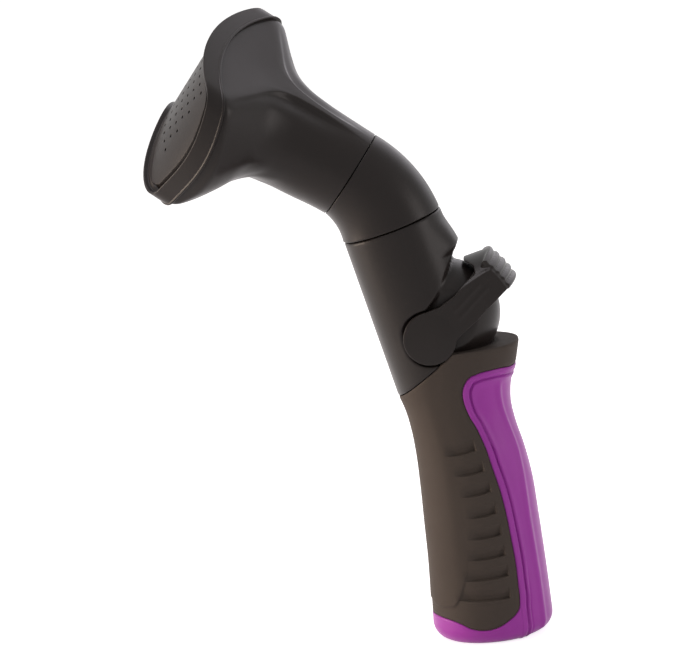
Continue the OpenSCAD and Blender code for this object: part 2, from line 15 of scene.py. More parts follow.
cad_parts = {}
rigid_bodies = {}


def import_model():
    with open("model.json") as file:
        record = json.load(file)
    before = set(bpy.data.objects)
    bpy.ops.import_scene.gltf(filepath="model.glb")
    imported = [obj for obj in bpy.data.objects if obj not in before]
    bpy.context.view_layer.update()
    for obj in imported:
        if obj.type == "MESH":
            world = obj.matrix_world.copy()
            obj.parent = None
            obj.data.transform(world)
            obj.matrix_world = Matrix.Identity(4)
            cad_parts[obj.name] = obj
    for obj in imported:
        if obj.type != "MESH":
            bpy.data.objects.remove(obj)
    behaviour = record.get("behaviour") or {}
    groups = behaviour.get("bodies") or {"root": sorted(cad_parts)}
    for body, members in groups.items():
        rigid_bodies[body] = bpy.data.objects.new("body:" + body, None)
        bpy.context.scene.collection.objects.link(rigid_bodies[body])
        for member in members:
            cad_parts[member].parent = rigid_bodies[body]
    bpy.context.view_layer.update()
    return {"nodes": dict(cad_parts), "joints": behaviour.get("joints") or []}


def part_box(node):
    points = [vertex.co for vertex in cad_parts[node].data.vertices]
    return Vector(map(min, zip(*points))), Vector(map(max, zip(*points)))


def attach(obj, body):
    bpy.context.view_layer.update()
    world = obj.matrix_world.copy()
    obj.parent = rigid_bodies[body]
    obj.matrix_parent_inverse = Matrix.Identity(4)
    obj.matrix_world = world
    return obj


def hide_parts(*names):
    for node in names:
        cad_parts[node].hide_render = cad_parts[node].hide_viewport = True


for leftover in list(bpy.data.objects):
    bpy.data.objects.remove(leftover)

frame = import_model()

MM = 0.001
JOINTS = {joint["name"]: joint for joint in frame["joints"]}


# ---------- places, from the frame ----------

def joint_place(name):
    """Position in millimetres and unit axis of a joint."""
    joint = JOINTS[name]
    axis = np.array(joint["axis"], float)
    return np.array(joint["pos_m"], float) / MM, axis / np.linalg.norm(axis)


def place(origin, up, turn=0.0):
    """4x4 matrix of a frame at origin with Z along up, X in the plane of symmetry, turned about Z."""
    z = up / np.linalg.norm(up)
    y = np.array([0.0, 1.0, 0.0])
    x = np.cross(y, z)
    x /= np.linalg.norm(x)
    matrix = np.eye(4)
    cos, sin = math.cos(turn), math.sin(turn)
    matrix[:3, 0] = cos * x + sin * y
    matrix[:3, 1] = -sin * x + cos * y
    matrix[:3, 2] = z
    matrix[:3, 3] = origin
    return matrix


def moved(matrix, points):
    """Points carried from a local frame into the sprayer's frame."""
    return points @ matrix[:3, :3].T + matrix[:3, 3]


PIVOT, _ = joint_place("lever_pivot")
NECK_SEAM, HANDLE_AXIS = joint_place("neck_swivel")
HEAD_SEAM, SPRAY_AXIS = joint_place("head_swivel")
HEAD_TURN = math.radians(25.0)
AT_PIVOT = place(PIVOT, HANDLE_AXIS)
AT_NECK = place(NECK_SEAM, HANDLE_AXIS)
AT_HEAD = place(HEAD_SEAM, SPRAY_AXIS, -HEAD_TURN)
NECK_TURN = math.acos(float(np.dot(HANDLE_AXIS, SPRAY_AXIS)))


# ---------- curves and grids ----------

def smooth(x, xs, ys):
    """Cubic through the points (xs, ys), whose slope at each point is that of its neighbours' chord."""
    xs, ys = np.asarray(xs, float), np.asarray(ys, float)
    slope = np.gradient(ys, xs)
    i = np.clip(np.searchsorted(xs, x) - 1, 0, len(xs) - 2)
    step = xs[i + 1] - xs[i]
    t = np.clip((x - xs[i]) / step, 0, 1)
    return ((1 + 2 * t) * (1 - t) ** 2 * ys[i] + t * (1 - t) ** 2 * step * slope[i]
            + t * t * (3 - 2 * t) * ys[i + 1] + t * t * (t - 1) * step * slope[i + 1])


def ease(x, low, high):
    """0 below low, 1 above high, and a smooth step between."""
    t = np.clip((x - low) / (high - low), 0, 1)
    return t * t * (3 - 2 * t)


def bump(x, width):
    """Rounded crest of height 1 that falls away over width on both sides of x = 0."""
    return np.exp(-(x / width) ** 2)


def grid_faces(rows, columns, closed=False):
    """Four-cornered faces of a grid of points, joined to itself both ways if it is closed."""
    index = np.arange(rows * columns).reshape(rows, columns)
    if closed:
        index = np.pad(index, (0, 1), mode="wrap")
    corners = [index[:-1, :-1], index[:-1, 1:], index[1:, 1:], index[1:, :-1]]
    return np.stack(corners, axis=-1).reshape(-1, 4)


def grid_normals(points, wrap_columns):
    """Unit normals of a grid of points, from the cross product of its central differences."""
    along = np.gradient(points, axis=0)
    if wrap_columns:
        across = np.roll(points, -1, axis=1) - np.roll(points, 1, axis=1)
    else:
        across = np.gradient(points, axis=1)
    normal = np.cross(across, along)
    return normal / np.maximum(np.linalg.norm(normal, axis=2, keepdims=True), 1e-9)


def new_object(name, data):
    """Object of the given data, linked to the scene."""
    obj = bpy.data.objects.new(name, data)
    bpy.context.scene.collection.objects.link(obj)
    return obj


def lengths(points):
    """Distance of each point from the first, along the line through them all."""
    return np.concatenate([[0], np.cumsum(np.linalg.norm(np.diff(points, axis=0), axis=1))])


def piece(name, points, faces, material, body, replaced, weld=0.0):
    """Mesh of points in millimetres, turned so that its faces point outwards, riding on a body."""
    points = np.asarray(points, float).reshape(-1, 3)
    centred = points - points.mean(axis=0)
    a, b, c, d = (centred[faces[:, k]] for k in range(4))
    volume = np.einsum("ij,ij->i", a, np.cross(b, c)) + np.einsum("ij,ij->i", a, np.cross(c, d))
    if volume.sum() < 0:
        faces = faces[:, ::-1]
    mesh = bpy.data.meshes.new(name)
    mesh.vertices.add(len(points))
    mesh.vertices.foreach_set("co", (points * MM).ravel())
    mesh.loops.add(faces.size)
    mesh.loops.foreach_set("vertex_index", np.ascontiguousarray(faces, np.int32).ravel())
    mesh.polygons.add(len(faces))
    mesh.polygons.foreach_set("loop_start", np.arange(0, faces.size, 4, dtype=np.int32))
    mesh.polygons.foreach_set("use_smooth", np.ones(len(faces), bool))
    mesh.update(calc_edges=True)
    mesh.validate()
    obj = new_object(name, mesh)
    mesh.materials.append(material)
    if weld:
        welding = obj.modifiers.new("weld", "WELD")
        welding.merge_threshold = weld * MM
    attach(obj, body)
    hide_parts(*replaced)
    return obj


# Most of an outline's side that a rounded corner takes, and the points on its arc
MOST_OF_SIDE = 0.45
ARC_POINTS = 5


def rounded_profile(corners, radii):
    """Outline through corners, each rounded by its radius: points on the arcs, in order."""
    corners = np.asarray(corners, float)
    points = []
    for i, radius in enumerate(radii):
        here = corners[i]
        before, after = corners[i - 1], corners[(i + 1) % len(corners)]
        if radius <= 0:
            points.append(here)
            continue
        to_before = (before - here) / np.linalg.norm(before - here)
        to_after = (after - here) / np.linalg.norm(after - here)
        half = math.acos(np.clip(np.dot(to_before, to_after), -1, 1)) / 2
        shorter = min(np.linalg.norm(before - here), np.linalg.norm(after - here))
        reach = min(radius / math.tan(half), MOST_OF_SIDE * shorter)
        start, end = here + to_before * reach, here + to_after * reach
        for t in np.linspace(0, 1, ARC_POINTS):
            points.append((1 - t) ** 2 * start + 2 * t * (1 - t) * here + t * t * end)
    return np.array(points)


# ---------- materials ----------

def node_group(name, inputs, outputs):
    """New shader node group with float inputs (name, default) and outputs (name, socket type)."""
    group = bpy.data.node_groups.new(name, "ShaderNodeTree")
    for label, default in inputs:
        socket = group.interface.new_socket(label, in_out="INPUT", socket_type="NodeSocketFloat")
        socket.default_value = default
    for label, kind in outputs:
        group.interface.new_socket(label, in_out="OUTPUT", socket_type=kind)
    return group, group.nodes.new("NodeGroupInput"), group.nodes.new("NodeGroupOutput")


def math_node(nodes, links, operation, *values):
    """Math node whose inputs are numbers or sockets. Returns its output."""
    node = nodes.new("ShaderNodeMath")
    node.operation = operation
    for k, value in enumerate(values):
        if isinstance(value, (int, float)):
            node.inputs[k].default_value = value
        else:
            links.new(value, node.inputs[k])
    return node.outputs[0]


def build_moulded_surface():
    """Moulded surface: fine grain of the tool, slow flow marks and faint handling marks."""
    group, inside, outside = node_group(
        "moulded_surface",
        [("Grain Size", 0.35), ("Grain Depth", 0.4), ("Flow", 0.4), ("Marks", 0.3)],
        [("Height", "NodeSocketFloat"), ("Tone", "NodeSocketFloat"), ("Gloss", "NodeSocketFloat")],
    )
    nodes, links = group.nodes, group.links
    place_node = nodes.new("ShaderNodeTexCoord")
    grain_scale = math_node(nodes, links, "DIVIDE", 1000.0, inside.outputs["Grain Size"])

    def noise(scale, detail, roughness=0.5):
        """Value of a noise over the object, at a scale that is a number or a socket."""
        node = nodes.new("ShaderNodeTexNoise")
        node.inputs["Detail"].default_value = detail
        node.inputs["Roughness"].default_value = roughness
        links.new(place_node.outputs["Object"], node.inputs["Vector"])
        if isinstance(scale, (int, float)):
            node.inputs["Scale"].default_value = scale
        else:
            links.new(scale, node.inputs["Scale"])
        return node.outputs["Fac"]

    grain = noise(grain_scale, 2.0)
    flow = noise(38.0, 3.0)
    marks = noise(170.0, 4.0, 0.65)
    height = math_node(nodes, links, "MULTIPLY", grain, inside.outputs["Grain Depth"])
    slow = math_node(nodes, links, "MULTIPLY", flow, inside.outputs["Flow"])
    links.new(math_node(nodes, links, "ADD", height, slow), outside.inputs["Height"])
    centred = math_node(nodes, links, "SUBTRACT", flow, 0.5)
    tone = math_node(nodes, links, "MULTIPLY", centred, inside.outputs["Flow"])
    links.new(math_node(nodes, links, "ADD", 0.5, tone), outside.inputs["Tone"])
    worn = math_node(nodes, links, "SUBTRACT", marks, 0.5)
    worn = math_node(nodes, links, "MULTIPLY", worn, inside.outputs["Marks"])
    links.new(math_node(nodes, links, "ADD", 0.5, worn), outside.inputs["Gloss"])
    return group


MOULDED = build_moulded_surface()


# Noise values that most of a surface lies between
NOISE_LOW, NOISE_HIGH = 0.3, 0.7
ROUGHNESS_SPREAD = 0.08
GRAIN_HEIGHT = 0.0001


def finish(name, dark, light, roughness, grain_size, grain_depth, specular=0.5, round_edges=0.0,
           metallic=0.0):
    """Material between two tones, with the moulded surface's grain, flow and handling marks."""
    material = bpy.data.materials.new(name)
    material.use_nodes = True
    nodes, links = material.node_tree.nodes, material.node_tree.links
    shader = nodes["Principled BSDF"]
    shader.inputs["Metallic"].default_value = metallic
    shader.inputs["Specular IOR Level"].default_value = specular
    surface = nodes.new("ShaderNodeGroup")
    surface.node_tree = MOULDED
    surface.inputs["Grain Size"].default_value = grain_size
    surface.inputs["Grain Depth"].default_value = grain_depth
    ramp = nodes.new("ShaderNodeValToRGB")
    ramp.color_ramp.elements[0].position = NOISE_LOW
    ramp.color_ramp.elements[0].color = (*dark, 1)
    ramp.color_ramp.elements[1].position = NOISE_HIGH
    ramp.color_ramp.elements[1].color = (*light, 1)
    links.new(surface.outputs["Tone"], ramp.inputs["Fac"])
    links.new(ramp.outputs["Color"], shader.inputs["Base Color"])
    spread = nodes.new("ShaderNodeMapRange")
    spread.inputs["From Min"].default_value = NOISE_LOW
    spread.inputs["From Max"].default_value = NOISE_HIGH
    spread.inputs["To Min"].default_value = roughness - ROUGHNESS_SPREAD
    spread.inputs["To Max"].default_value = roughness + ROUGHNESS_SPREAD
    links.new(surface.outputs["Gloss"], spread.inputs["Value"])
    links.new(spread.outputs["Result"], shader.inputs["Roughness"])
    relief = nodes.new("ShaderNodeBump")
    relief.inputs["Strength"].default_value = 0.5
    relief.inputs["Distance"].default_value = GRAIN_HEIGHT
    links.new(surface.outputs["Height"], relief.inputs["Height"])
    if round_edges:
        edges = nodes.new("ShaderNodeBevel")
        edges.samples = 4
        edges.inputs["Radius"].default_value = round_edges * MM
        links.new(edges.outputs["Normal"], relief.inputs["Normal"])
    links.new(relief.outputs["Normal"], shader.inputs["Normal"])
    return material


BLACK_TONES = (0.0155, 0.0125, 0.0115), (0.0205, 0.0168, 0.0156)
BLACK_MOULDING = finish("black_moulding", *BLACK_TONES, 0.33, 0.30, 0.5, specular=0.16)
BLACK_EDGED = finish("black_moulding_edged", *BLACK_TONES, 0.36, 0.30, 0.5, specular=0.15,
                     round_edges=0.5)
GRIP_RUBBER = finish("grip_rubber", (0.058, 0.0475, 0.0405), (0.072, 0.0590, 0.0505),
                     0.66, 0.25, 0.8, specular=0.1)
PURPLE = finish("purple_moulding", (0.315, 0.038, 0.335), (0.368, 0.047, 0.388),
                0.38, 0.6, 0.15, specular=0.2)
SEAL = finish("seal_rubber", (0.012, 0.012, 0.012), (0.018, 0.018, 0.018), 0.55, 0.3, 0.5)
WHITE = finish("white_acetal", (0.70, 0.69, 0.65), (0.76, 0.75, 0.71), 0.38, 0.4, 0.2,
               round_edges=0.3)
STEEL = finish("stainless_steel", (0.55, 0.56, 0.58), (0.65, 0.66, 0.68), 0.28, 0.15, 0.3,
               round_edges=0.15, metallic=1.0)


# ---------- neck ----------

NECK_D = 38.6
NECK_HEAD_D = 35.2
NECK_BEND_R = 38.5
NECK_SPIGOT = 21.0
NECK_SPIGOT_R = 13.62
NECK_BORE_R = 7.5
HEAD_SOCKET_R = 12.0
HEAD_SOCKET = 14.0
SEAM_LIP = 0.45
SOCKET_CHAMFER = 0.4
SPIGOT_CHAMFER = 0.6
# Grooves round the spigot: lower edge above its end, width and depth
SPIGOT_GROOVES = ((4.5, 2.0, 1.5), (NECK_SPIGOT - 5.35, 1.9, 1.42))
# Shares of the bend at which the bore has rings, all below the floor of the head's socket
BORE_BENDS = (0.24, 0.12, 0.0)
NECK_AROUND = 160


def bent_rings(turns, ups, radii, around):
    """Circles carried round the neck's bend.

    Each is a circle of the given radius square to the neck's centre line, at an angle along the
    bend plus a distance straight on from there.
    """
    t = np.linspace(0, 2 * math.pi, around, endpoint=False)
    turns, ups, radii = (np.asarray(v, float)[:, None] for v in (turns, ups, radii))
    reach = NECK_BEND_R + radii * np.cos(t)
    x = reach * np.cos(turns) - NECK_BEND_R - ups * np.sin(turns)
    z = reach * np.sin(turns) + ups * np.cos(turns)
    y = radii * np.sin(t) + 0 * turns
    return moved(AT_NECK, np.stack([x, y, z], axis=-1))


def build_neck():
    """Closed tube: outer skin from seam to seam, head socket, bent bore and lower spigot."""
    lip = SEAM_LIP
    bend = np.linspace(0, 1, 41)
    skin_r = (NECK_D + (NECK_HEAD_D - NECK_D) * bend) / 2
    corner = np.radians(np.linspace(0, 90, 6))
    top_r = NECK_HEAD_D / 2
    rows = [(0.0, 0.0, NECK_SPIGOT_R), (0.0, 0.0, NECK_D / 2 - lip)]
    rows += [(0.0, lip * (1 - math.cos(a)), NECK_D / 2 - lip * (1 - math.sin(a))) for a in corner[1:]]
    first = lip * 1.5 / NECK_BEND_R
    last = NECK_TURN - first
    rows += [(first + (last - first) * s, 0.0, r) for s, r in zip(bend, skin_r)]
    rows += [(NECK_TURN, -lip * (1 - math.sin(a)), top_r - lip * (1 - math.cos(a))) for a in corner[1:]]
    rows += [(NECK_TURN, 0.0, HEAD_SOCKET_R + SOCKET_CHAMFER), (NECK_TURN, -SOCKET_CHAMFER, HEAD_SOCKET_R)]
    rows += [(NECK_TURN, -HEAD_SOCKET, HEAD_SOCKET_R), (NECK_TURN, -HEAD_SOCKET, NECK_BORE_R)]
    rows += [(NECK_TURN * s, 0.0, NECK_BORE_R) for s in BORE_BENDS]
    rows += [(0.0, -NECK_SPIGOT, NECK_BORE_R), (0.0, -NECK_SPIGOT, NECK_SPIGOT_R - SPIGOT_CHAMFER)]
    rows += [(0.0, -NECK_SPIGOT + SPIGOT_CHAMFER, NECK_SPIGOT_R)]
    for low_edge, width, depth in SPIGOT_GROOVES:
        base = -NECK_SPIGOT + low_edge
        rows += [(0.0, base, NECK_SPIGOT_R), (0.0, base, NECK_SPIGOT_R - depth)]
        rows += [(0.0, base + width, NECK_SPIGOT_R - depth), (0.0, base + width, NECK_SPIGOT_R)]
    turns, ups, radii = np.array(rows).T
    points = bent_rings(turns, ups, radii, NECK_AROUND)
    faces = grid_faces(len(rows), NECK_AROUND, closed=True)
    neck = piece("neck_moulding", points, faces, BLACK_MOULDING, "neck", ["neck"])
    neck.data.set_sharp_from_angle(angle=math.radians(35))


# ---------- head ----------

FACE_REACH = 72.3
FACE_R = 60.0
FACE_TOP = 20.5
FACE_CORNER = 35.0
FACE_HALF = 41.5
FACE_LOW = 33.0
FACE_MID = 21.0
LOBE_R = 7.0
CORNER_SOFT = 5.0
RIM_DEPTH = 7.5
RIM_LIP = 3.2
FACE_CENTRE = FACE_REACH - FACE_R
# Share of the side that the rounded top corner takes
TOP_SHARE = 0.085
# Half width at which the flat top's crease meets the rim
TOP_HALF = 31.5
# The side's bow, and how far its lower end lies within the greatest half width
SIDE_BOW = 4.6
SIDE_IN = 2.5
KINK_SOFT = 2.0
CREASE = math.radians(7.0)
HEAD_SPIGOT_R = HEAD_SOCKET_R - 0.08
HEAD_SPIGOT = 13.2


def face_side(t):
    """Side of the face from its top corner (t = 0) to the lobe (t = 1), bowed outwards."""
    up = FACE_TOP + (LOBE_R - FACE_LOW - FACE_TOP) * t
    straight = FACE_CORNER + (FACE_HALF - SIDE_IN - FACE_CORNER) * t
    return np.stack([up, straight + SIDE_BOW * np.sin(math.pi * t ** 0.85)], axis=-1)


def face_half_outline(count):
    """Half of the face's outline from the middle of the flat top round to the middle below.

    Flat top, rounded corner, bowed side, quarter-round lobe and hollow lower edge, at even steps
    of length. Each point is (up, sideways).
    """
    top = np.stack([np.full(12, FACE_TOP), np.linspace(0, FACE_CORNER - CORNER_SOFT, 12)], axis=-1)
    t = np.linspace(0, 1, 12)[1:, None]
    start = np.array([FACE_TOP, FACE_CORNER - CORNER_SOFT])
    middle = np.array([FACE_TOP, FACE_CORNER])
    corner = (1 - t) ** 2 * start + 2 * t * (1 - t) * middle + t * t * face_side(np.array([TOP_SHARE]))
    side = face_side(np.linspace(TOP_SHARE, 1, 30)[1:])
    a = np.radians(np.linspace(0, 90, 12)[1:])
    lobe = np.stack([LOBE_R - FACE_LOW - LOBE_R * np.sin(a),
                     FACE_HALF - SIDE_IN - LOBE_R + LOBE_R * np.cos(a)], axis=-1)
    t = np.linspace(0, 1, 30)[1:]
    lower = np.stack([-FACE_MID - (FACE_LOW - FACE_MID) * np.sin(math.pi / 2 * (1 - t)) ** 2,
                      (FACE_HALF - SIDE_IN - LOBE_R) * (1 - t)], axis=-1)
    rough = np.vstack([top, corner, side, lobe, lower])
    length = lengths(rough)
    at = np.linspace(0, length[-1], count)
    half = np.stack([np.interp(at, length, rough[:, k]) for k in range(2)], axis=-1)
    return soften_half(half, length[-1] / (count - 1), KINK_SOFT)


def soften_half(half, step, width):
    """Half outline with its kinks averaged away over a width, as if it ran on mirrored at its ends."""
    count = len(half)
    mirror = np.array([1, -1])
    loop = np.vstack([half[count - 1:0:-1] * mirror, half, half[-2::-1] * mirror])
    reach = int(3 * width / step)
    offset = np.arange(-reach, reach + 1)
    weight = np.exp(-(offset * step / width) ** 2)
    soft = sum(w * np.roll(loop, k, axis=0) for k, w in zip(offset, weight)) / weight.sum()
    return soft[count - 1:2 * count - 1]


def face_outline(count):
    """Whole outline of the face as a closed loop of 2 count - 2 points."""
    half = face_half_outline(count)
    other = half[-2:0:-1] * np.array([1, -1])
    return np.vstack([half, other])


def loop_normals(loop):
    """Outward normals of a closed flat loop of points (up, sideways)."""
    along = np.roll(loop, -1, axis=0) - np.roll(loop, 1, axis=0)
    normal = np.stack([along[:, 1], -along[:, 0]], axis=-1)
    normal /= np.linalg.norm(normal, axis=1, keepdims=True)
    if np.sum(normal * (loop - loop.mean(axis=0))) < 0:
        normal = -normal
    return normal


def face_depth(sideways):
    """How far out the curved face lies at a distance to the side: an arc across the head."""
    return FACE_CENTRE + np.sqrt(np.maximum(FACE_R ** 2 - sideways ** 2, 0))


def build_face_rim():
    """Rim band: a rounded box profile carried round the face's outline.

    The outer wall stands square to the outline and its back edge carries a small bead. Inside a
    narrow front lip, a shelf runs flush with the spray plate.
    """
    loop = face_outline(190)
    normal = loop_normals(loop)
    profile = rounded_profile(
        [(0.0, -RIM_DEPTH + 1.1), (0.4, -RIM_DEPTH + 0.75), (0.4, -RIM_DEPTH), (-RIM_LIP - 1, -RIM_DEPTH),
         (-RIM_LIP - 1, -2.6), (-RIM_LIP - 0.05, -1.9), (-1.5, -1.88), (-1.05, -0.1), (-0.1, 0.0)],
        [0.3, 0.25, 0.25, 0, 0, 0.05, 0.35, 0.4, 0.55])
    out, back = profile[:, 0], profile[:, 1]
    flat = loop[None] + out[:, None, None] * normal[None]
    depth = face_depth(loop[None, :, 1] + 0 * out[:, None]) + back[:, None]
    local = np.stack([flat[..., 0], flat[..., 1], depth], axis=-1)
    points = moved(AT_HEAD, local)
    faces = grid_faces(*points.shape[:2], closed=True)
    rim = piece("face_rim_band", points, faces, BLACK_MOULDING, "head", ["face_rim"])
    rim.data.set_sharp_from_angle(angle=math.radians(40))


def head_growth(share):
    """How far a section has grown from the inlet circle (0) to the face's outline (1).

    Cubic through set points, which meets the face's full outline in a soft crease.
    """
    return smooth(share, [0, 0.2, 0.46, 0.64, 0.76, 0.86, 0.94, 0.985, 1.0, 1.02, 1.2],
                  [0, 0.03, 0.11, 0.26, 0.47, 0.74, 0.915, 0.988, 1.0, 1.0, 1.0])


# Width of the straight strip behind the rim, by distance below the inlet's axis, and its width at
# the middle of the lower edge
STRIP_DOWN = [-20, -14, -5, 8, 20, 28, 33]
STRIP_WIDTH = [0.8, 1.5, 2.4, 3.8, 3.6, 1.4, 0.0]
STRIP_MIDDLE = 14.8
# How much later the sides below the top corner grow out
CORNER_DELAY = 0.85
BELLY_FLAT = 1.2
VALLEY_DEPTH = 1.5


def build_head_shell():
    """Shell from the round inlet to the face: each section blends a circle into the outline.

    The flat top runs straight from the inlet to the rim and stays narrow near the neck, so a
    dark hollow parts it from the round body below. Behind the rim a straight strip follows the
    outline, narrow at the top corner and widest at the lobe, and ends in a crease.
    """
    half = face_half_outline(170)
    count = len(half)
    k = np.arange(count)
    flat_top = int(np.argmax(half[:, 1] > TOP_HALF))
    angle = np.where(k <= flat_top, CREASE * k / flat_top,
                     CREASE + (math.pi - CREASE) * (k - flat_top) / (count - 1 - flat_top))
    target = half - np.array([0.55, 0]) * np.tanh(half[:, :1] / 9.0)
    target = target * np.array([1, (FACE_HALF - 0.8) / FACE_HALF])
    behind_rim = face_depth(half[:, 1]) - RIM_DEPTH
    strip = smooth(-half[:, 0], STRIP_DOWN, STRIP_WIDTH)
    below = ease(k, np.argmin(half[:, 0]), count - 1)
    full = behind_rim - strip * (1 - below) - STRIP_MIDDLE * below
    late = 1 + CORNER_DELAY * (1 - ease(k, flat_top + 4, flat_top + 46))
    flat_share = 1 - ease(k, flat_top - 8, flat_top + 12)
    radius = NECK_HEAD_D / 2
    rows = []
    for s in np.linspace(0.35, 0.95 * FACE_REACH, 170):
        grown = head_growth(s / full) ** late
        straight = 0.5 * grown + 0.5 * s / FACE_REACH
        lifted = grown + (straight - grown) * flat_share
        up = (1 - lifted) * radius * np.cos(angle) + lifted * target[:, 0]
        up = up - BELLY_FLAT * ease(s, 1, 20) * (1 - ease(s, 26, 46)) * ease(-np.cos(angle), 0.0, 0.9)
        side = (1 - grown) * radius * np.sin(angle) + grown * target[:, 1]
        along = np.stack([np.gradient(up), np.gradient(side)], axis=-1)
        along /= np.maximum(np.linalg.norm(along, axis=1, keepdims=True), 1e-9)
        length = np.cumsum(np.hypot(np.diff(up, prepend=up[0]), np.diff(side, prepend=side[0])))
        past = length - length[flat_top]
        valley = VALLEY_DEPTH * ease(s, 4, 26) * (1 - 0.8 * ease(s, 32, 46)) * (1 - ease(s, 48, 54))
        edge = -1.4 + 1.6 * ease(s, 36, 52)
        dip = valley * ease(past, edge, edge + 2.8) * (1 - ease(past, edge + 2.2, edge + 11.0))
        up, side = up - along[:, 1] * dip, side + along[:, 0] * dip
        limit = face_depth(side) - RIM_DEPTH + 0.5
        rows.append(np.stack([up, side, np.minimum(s, limit)], axis=-1))
    right = np.array(rows)
    left = right[:, -2:0:-1] * np.array([1, -1, 1])
    skin = np.concatenate([right, left], axis=1)
    inner = []
    around = np.concatenate([angle, 2 * math.pi - angle[-2:0:-1]])
    for radius, up in ((HEAD_SPIGOT_R, 0.35), (HEAD_SPIGOT_R, -HEAD_SPIGOT),
                       (NECK_BORE_R, -HEAD_SPIGOT), (NECK_BORE_R, 30.0)):
        inner.append(np.stack([radius * np.cos(around), radius * np.sin(around),
                               np.full(len(around), up)], axis=-1))
    last = skin[-1]
    closing = last * np.array([0.8, 0.8, 1]) - np.array([0, 0, 1.5])
    local = np.concatenate([skin, closing[None], np.array(inner)[::-1]], axis=0)
    points = moved(AT_HEAD, local)
    faces = grid_faces(*points.shape[:2], closed=True)
    shell = piece("head_moulding", points, faces, BLACK_MOULDING, "head", ["head_shell"])
    shell.data.set_sharp_from_angle(angle=math.radians(50))


# ---------- handle ----------

COLLAR_H = PIVOT[2] - 6.7
GRIP_HEIGHTS = [6, 15, 30, 45, 60, 72, 82, 90, 97, 104, COLLAR_H]
GRIP_FRONT = [-23.2, -22.8, -22.2, -22.1, -22.0, -22.2, -23.0, -24.4, -26.6, -28.4, -30.0]
GRIP_BACK = [23.2, 23.0, 22.5, 21.8, 20.9, 19.0, 16.7, 15.8, 16.6, 18.8, 21.1]
GRIP_HALF = [23.2, 22.7, 22.2, 21.7, 21.1, 20.4, 19.7, 19.4, 19.8, 20.6, 21.2]
GRIP_POWER = 2.12
FOOT_ROUND = 6.0
BEND_H = 74.5
TILT = math.acos(HANDLE_AXIS[2])
# Millimetres of the handle's skin to a radian of turn
SKIN_SCALE = 21.0
# Height at which the foot ring's edge passes into the back strip's
STRIP_FROM = 13.5
# Height of the edge at the back's middle
EDGE_BACK = 104.2


def handle_oval(z):
    """Middle, half depth and half width of the handle's level section at a height."""
    low = np.clip(1 - z / FOOT_ROUND, 0, 1)
    shrink = FOOT_ROUND * (1 - np.sqrt(1 - low ** 2))
    height = np.maximum(z, GRIP_HEIGHTS[0])
    front = smooth(height, GRIP_HEIGHTS, GRIP_FRONT) + shrink
    back = smooth(height, GRIP_HEIGHTS, GRIP_BACK) - shrink
    half = smooth(height, GRIP_HEIGHTS, GRIP_HALF) - shrink
    return (front + back) / 2, (back - front) / 2, half


def handle_point(turn, z):
    """Point of the handle's outside at a turn from the back and a height, on a squared oval."""
    middle, deep, half = handle_oval(z)
    cos, sin = np.cos(turn), np.sin(turn)
    r = (np.abs(cos) ** GRIP_POWER + np.abs(sin) ** GRIP_POWER) ** (-1 / GRIP_POWER)
    return np.stack([middle + deep * r * cos, half * r * sin, z + 0 * turn], axis=-1)


def skin_normals(points, z, closed):
    """Outward unit normals of a grid on the handle's outside, at heights z."""
    normal = grid_normals(points, wrap_columns=closed)
    middle = handle_oval(z)[0]
    outward = points - np.stack([middle, 0 * z, z], axis=-1)
    return normal * np.sign(np.sum(normal * outward, axis=-1, keepdims=True) + 1e-9)


def turn_at(x, z):
    """Turn from the back of the handle's outside at a place along X and a height."""
    middle, deep, _ = handle_oval(z)
    across = np.clip((x - middle) / deep, -1, 1)
    side = (1 - np.abs(across) ** GRIP_POWER) ** (1 / GRIP_POWER)
    return np.arctan2(side, across)


# Edge between the soft grip and the coloured moulding, from the front round the foot ring's dip,
# up the back strip and over its rounded top: places along X and heights
EDGE = np.array([
    (-22.9, 10.0), (-19.6, 10.6), (-15.6, 10.1), (-11.8, 8.9), (-8.1, 7.2), (-4.2, 6.4), (-0.3, 6.5),
    (3.7, 7.6), (7.0, 9.4), (9.6, 11.3), (11.0, 13.3), (11.4, 16.0), (11.4, 23), (11.3, 30.7),
    (10.7, 38.8), (9.8, 48.9), (8.4, 59.0), (6.2, 69.0), (3.9, 78.5), (2.0, 84.0), (-0.6, 89.9),
    (-1.8, 94.6), (-1.9, 98.3), (-1.0, 101.1), (1.1, 103.7), (5.2, 105.0), (9.2, 105.3),
    (13.2, 105.2), (16.4, 104.6),
])


def edge_curve(count):
    """The edge on one side as even steps: (turn from the back, height), ending at the back's middle."""
    turn = turn_at(EDGE[:, 0], EDGE[:, 1])
    turn[0] = math.pi
    turn = np.append(turn, 0.0)
    z = np.append(EDGE[:, 1], EDGE_BACK)
    arc = np.stack([turn * SKIN_SCALE, z], axis=-1)
    length = lengths(arc)
    at = np.linspace(0, length[-1], count)
    return np.stack([smooth(at, length, turn), smooth(at, length, z)], axis=-1)


def away_from(curve, turn, z):
    """Shortest distance in millimetres from points of the handle's skin to a curve on it."""
    flat = np.stack([np.abs(turn) * SKIN_SCALE, z], axis=-1).reshape(-1, 2)
    line = curve * np.array([SKIN_SCALE, 1.0])
    best = np.full(len(flat), np.inf)
    chunk = 40
    for start in range(0, len(line) - 1, chunk):
        b = line[start + 1:start + 1 + chunk]
        a = line[start:start + len(b)]
        along = b - a
        t = np.einsum("pki,ki->pk", flat[:, None] - a[None], along) / np.sum(along ** 2, axis=1)
        near = a[None] + np.clip(t, 0, 1)[..., None] * along[None]
        best = np.minimum(best, np.linalg.norm(flat[:, None] - near, axis=2).min(axis=1))
    return best.reshape(np.shape(z))


